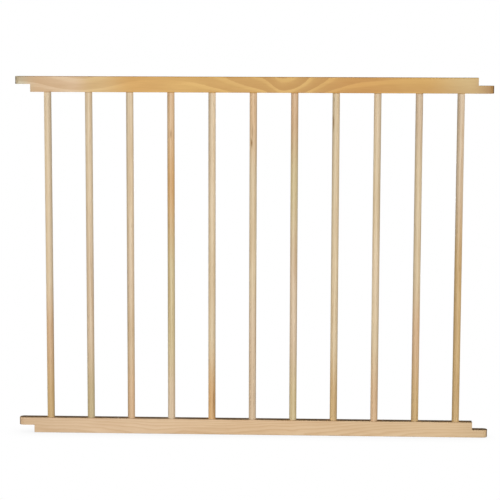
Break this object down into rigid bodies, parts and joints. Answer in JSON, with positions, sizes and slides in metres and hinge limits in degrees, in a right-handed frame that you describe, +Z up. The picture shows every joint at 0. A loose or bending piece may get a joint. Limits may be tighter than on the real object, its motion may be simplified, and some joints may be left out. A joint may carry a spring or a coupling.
{
  "type": "safety gate panel",
  "caption": "Wooden child safety gate panel: round spindles between a top rail and a bottom rail, with half-lap tongues and upright pin holes at the rail ends.",
  "frame": {"origin": "middle of the panel, on the underside of the bottom rail", "axes": "+X along the rails to the right, +Y through the panel from its front to its back, +Z up the spindles; the front faces -Y"},
  "size_m": [0.914, 0.018, 0.695],
  "materials": {
    "top_rail_wood": "satin clear lacquer, amber",
    "bottom_rail_wood": "satin clear lacquer, pale",
    "spindle_wood": "satin clear lacquer, mixed pale tones",
    "brad_steel": "plain steel"
  },
  "bodies": {
    "root": {"top_rail": "top_rail_wood", "bottom_rail": "bottom_rail_wood", "spindle_01": "spindle_wood", "spindle_02": "spindle_wood", "spindle_03": "spindle_wood", "spindle_04": "spindle_wood", "spindle_05": "spindle_wood", "spindle_06": "spindle_wood", "spindle_07": "spindle_wood", "spindle_08": "spindle_wood", "spindle_09": "spindle_wood", "spindle_10": "spindle_wood", "spindle_11": "spindle_wood", "top_rail_brads": "brad_steel", "bottom_rail_brads": "brad_steel"}
  },
  "joints": []
}
